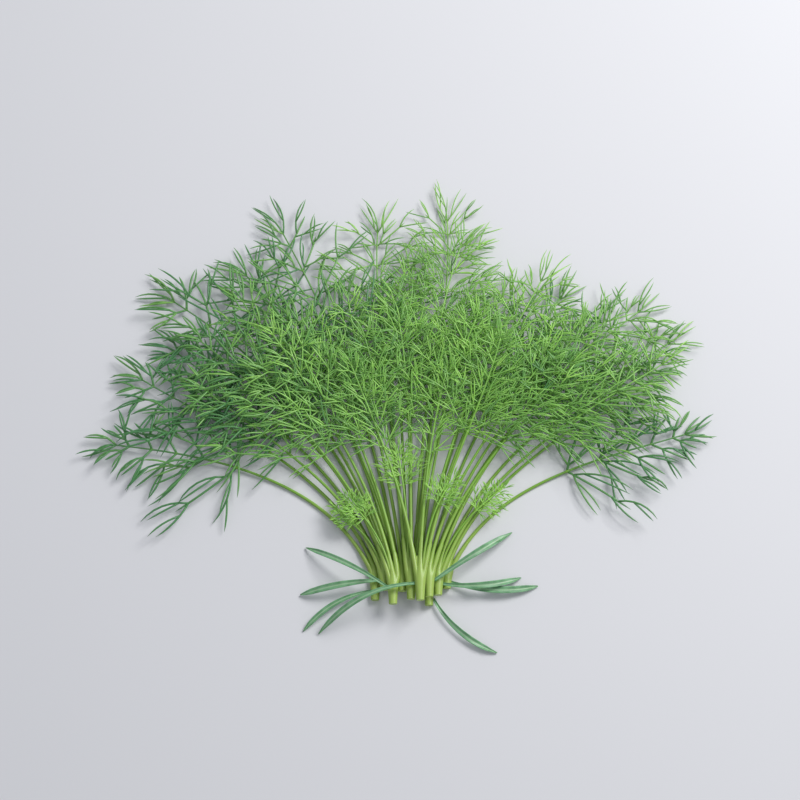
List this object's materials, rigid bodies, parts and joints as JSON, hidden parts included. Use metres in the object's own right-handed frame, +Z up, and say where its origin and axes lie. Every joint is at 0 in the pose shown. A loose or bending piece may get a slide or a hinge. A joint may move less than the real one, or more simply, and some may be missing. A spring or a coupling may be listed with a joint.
{
  "type": "bunch of dill",
  "caption": "Loose bunch of fresh young dill lying flat: short pale cut stems, long bare stalks fanning out, feathery green leaves at their ends and narrow strap-like seed leaves at the base.",
  "frame": {"origin": "on the surface that the bunch lies on, under the middle of the bunch's box", "axes": "+Z up from the surface, +Y from the cut ends towards the leaf tips, +X across the fan to the right when seen from above with +Y away"},
  "size_m": [0.3252, 0.2482, 0.0255],
  "materials": {
    "stem": "matte, pale yellow-green",
    "leaf": "satin, fresh green",
    "seed_leaf": "satin, blue-green"
  },
  "bodies": {
    "root": {"sprig_01_leaf_1": "leaf", "sprig_01_leaf_2": "leaf", "sprig_01_leaf_3": "leaf", "sprig_01_seed_leaf": "seed_leaf", "sprig_01_stem": "stem", "sprig_02_leaf_1": "leaf", "sprig_02_leaf_2": "leaf", "sprig_02_leaf_3": "leaf", "sprig_02_stem": "stem", "sprig_03_leaf_1": "leaf", "sprig_03_leaf_2": "leaf", "sprig_03_leaf_3": "leaf", "sprig_03_stem": "stem", "sprig_04_leaf_1": "leaf", "sprig_04_leaf_2": "leaf", "sprig_04_leaf_3": "leaf", "sprig_04_stem": "stem", "sprig_05_leaf_1": "leaf", "sprig_05_leaf_2": "leaf", "sprig_05_leaf_3": "leaf", "sprig_05_seed_leaf": "seed_leaf", "sprig_05_stem": "stem", "sprig_06_leaf_1": "leaf", "sprig_06_leaf_2": "leaf", "sprig_06_leaf_3": "leaf", "sprig_06_seed_leaf": "seed_leaf", "sprig_06_stem": "stem", "sprig_07_leaf_1": "leaf", "sprig_07_leaf_2": "leaf", "sprig_07_leaf_3": "leaf", "sprig_07_stem": "stem", "sprig_08_leaf_1": "leaf", "sprig_08_leaf_2": "leaf", "sprig_08_leaf_3": "leaf", "sprig_08_stem": "stem", "sprig_09_leaf_1": "leaf", "sprig_09_leaf_2": "leaf", "sprig_09_leaf_3": "leaf", "sprig_09_seed_leaf": "seed_leaf", "sprig_09_stem": "stem", "sprig_10_leaf_1": "leaf", "sprig_10_leaf_2": "leaf", "sprig_10_leaf_3": "leaf", "sprig_10_seed_leaf": "seed_leaf", "sprig_10_stem": "stem", "sprig_11_leaf_1": "leaf", "sprig_11_leaf_2": "leaf", "sprig_11_leaf_3": "leaf", "sprig_11_stem": "stem", "sprig_12_leaf_1": "leaf", "sprig_12_leaf_2": "leaf", "sprig_12_leaf_3": "leaf", "sprig_12_seed_leaf": "seed_leaf", "sprig_12_stem": "stem", "sprig_13_leaf_1": "leaf", "sprig_13_leaf_2": "leaf", "sprig_13_leaf_3": "leaf", "sprig_13_stem": "stem"}
  },
  "joints": []
}
